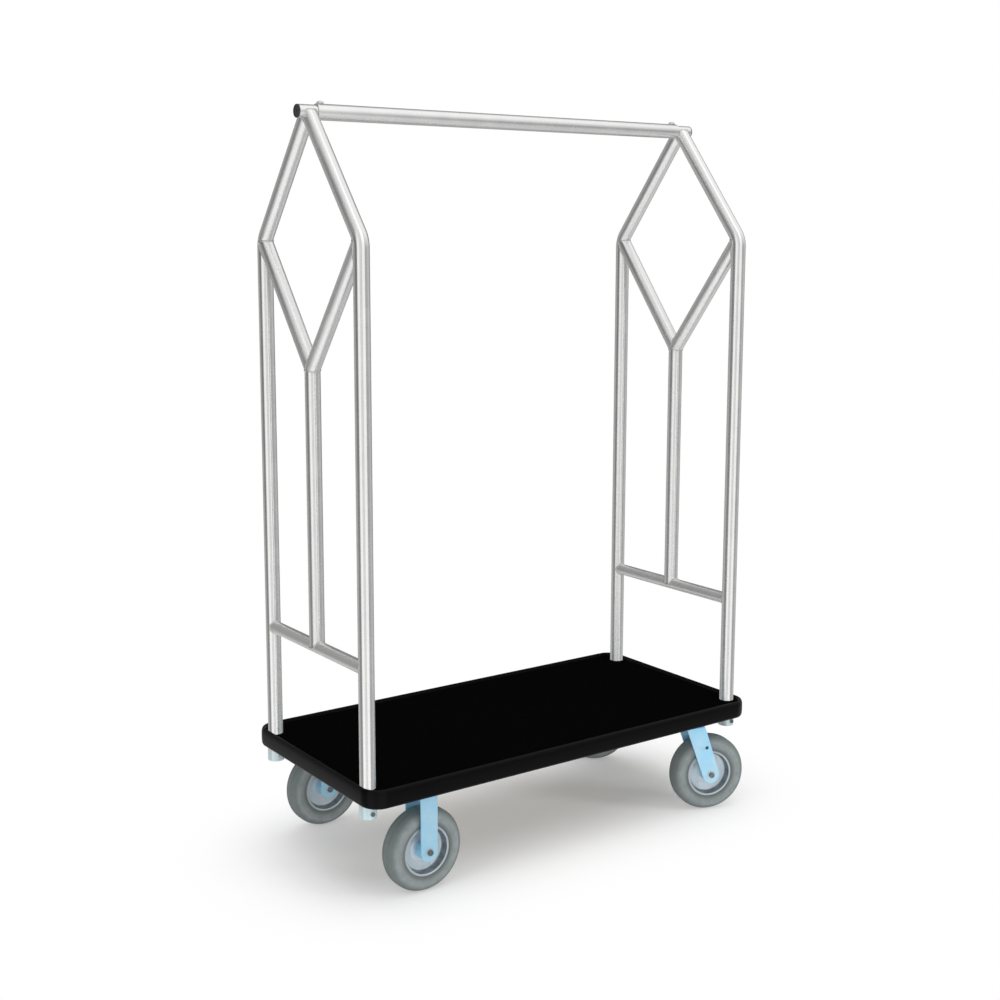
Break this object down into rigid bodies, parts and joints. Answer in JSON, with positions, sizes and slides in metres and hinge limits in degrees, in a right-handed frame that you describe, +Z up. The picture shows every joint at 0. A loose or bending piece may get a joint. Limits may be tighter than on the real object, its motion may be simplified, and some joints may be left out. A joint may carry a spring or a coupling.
{
  "type": "hotel luggage cart",
  "caption": "Wheeled hotel luggage cart with a carpeted deck, tubular end frames with diamond tops and a high bar for hanging garments.",
  "frame": {"origin": "on the floor under the middle of the deck; the swivel casters as parked put the bounding box's centre 8 mm off it in Y", "axes": "+Z up, +X along the hanger bar towards the swivel casters, -Y to the front long side"},
  "size_m": [1.2286, 0.6058, 1.8723],
  "materials": {
    "stainless_tube": "bright satin stainless tube",
    "zinc_plate": "bluish bright zinc plating",
    "bright_fasteners": "plated steel",
    "wheel_rim": "silver paint, satin",
    "tyre_rubber": "grey non-marking rubber",
    "bumper_vinyl": "smooth black vinyl, semi-gloss",
    "carpet": "black cut-pile carpet",
    "black_plastic": "moulded",
    "plywood": "unfinished plywood underside"
  },
  "bodies": {
    "cart_frame": {"deck_board": "plywood", "deck_carpet": "carpet", "deck_bumper": "bumper_vinyl", "hanger_bar": "stainless_tube", "left_bar_stub": "stainless_tube", "left_bar_bolt": "bright_fasteners", "left_bar_plug": "black_plastic", "left_centre_upright": "stainless_tube", "left_lower_rail": "stainless_tube", "left_front_post": "stainless_tube", "left_front_v_arm": "stainless_tube", "left_front_socket": "zinc_plate", "left_front_socket_bolt": "bright_fasteners", "left_front_rigid_fork": "zinc_plate", "left_front_axle_bolt": "bright_fasteners", "left_front_axle_spacer": "bright_fasteners", "left_back_post": "stainless_tube", "left_back_v_arm": "stainless_tube", "left_back_socket": "zinc_plate", "left_back_socket_bolt": "bright_fasteners", "left_back_rigid_fork": "zinc_plate", "left_back_axle_bolt": "bright_fasteners", "left_back_axle_spacer": "bright_fasteners", "right_bar_stub": "stainless_tube", "right_bar_bolt": "bright_fasteners", "right_bar_plug": "black_plastic", "right_centre_upright": "stainless_tube", "right_lower_rail": "stainless_tube", "right_front_post": "stainless_tube", "right_front_v_arm": "stainless_tube", "right_front_socket": "zinc_plate", "right_front_socket_bolt": "bright_fasteners", "right_front_swivel_plate": "zinc_plate", "right_front_swivel_race": "bright_fasteners", "right_front_kingpin": "bright_fasteners", "right_back_post": "stainless_tube", "right_back_v_arm": "stainless_tube", "right_back_socket": "zinc_plate", "right_back_socket_bolt": "bright_fasteners", "right_back_swivel_plate": "zinc_plate", "right_back_swivel_race": "bright_fasteners", "right_back_kingpin": "bright_fasteners"},
    "left_front_wheel": {"left_front_rim": "wheel_rim", "left_front_tyre": "tyre_rubber", "left_front_hub_bearing": "bright_fasteners"},
    "left_back_wheel": {"left_back_rim": "wheel_rim", "left_back_tyre": "tyre_rubber", "left_back_hub_bearing": "bright_fasteners"},
    "right_front_wheel": {"right_front_rim": "wheel_rim", "right_front_tyre": "tyre_rubber", "right_front_hub_bearing": "bright_fasteners"},
    "right_front_swivel": {"right_front_swivel_fork": "zinc_plate", "right_front_axle_bolt": "bright_fasteners", "right_front_axle_spacer": "bright_fasteners"},
    "right_back_wheel": {"right_back_rim": "wheel_rim", "right_back_tyre": "tyre_rubber", "right_back_hub_bearing": "bright_fasteners"},
    "right_back_swivel": {"right_back_swivel_fork": "zinc_plate", "right_back_axle_bolt": "bright_fasteners", "right_back_axle_spacer": "bright_fasteners"}
  },
  "joints": [
    {"name": "left_front_roll", "type": "hinge", "parent": "cart_frame", "child": "left_front_wheel", "pos_m": [-0.44, -0.243, 0.104], "axis": [0, 1, 0], "continuous": true},
    {"name": "left_back_roll", "type": "hinge", "parent": "cart_frame", "child": "left_back_wheel", "pos_m": [-0.44, 0.243, 0.104], "axis": [0, 1, 0], "continuous": true},
    {"name": "right_front_turn", "type": "hinge", "parent": "cart_frame", "child": "right_front_swivel", "pos_m": [0.44, -0.243, 0.24], "axis": [0, 0, 1], "continuous": true},
    {"name": "right_front_roll", "type": "hinge", "parent": "right_front_swivel", "child": "right_front_wheel", "pos_m": [0.48539, -0.25863, 0.104], "axis": [0.3256, 0.9455, 0], "continuous": true},
    {"name": "right_back_turn", "type": "hinge", "parent": "cart_frame", "child": "right_back_swivel", "pos_m": [0.44, 0.243, 0.24], "axis": [0, 0, 1], "continuous": true},
    {"name": "right_back_roll", "type": "hinge", "parent": "right_back_swivel", "child": "right_back_wheel", "pos_m": [0.47677, 0.21215, 0.104], "axis": [0.6428, 0.766, 0], "continuous": true}
  ]
}
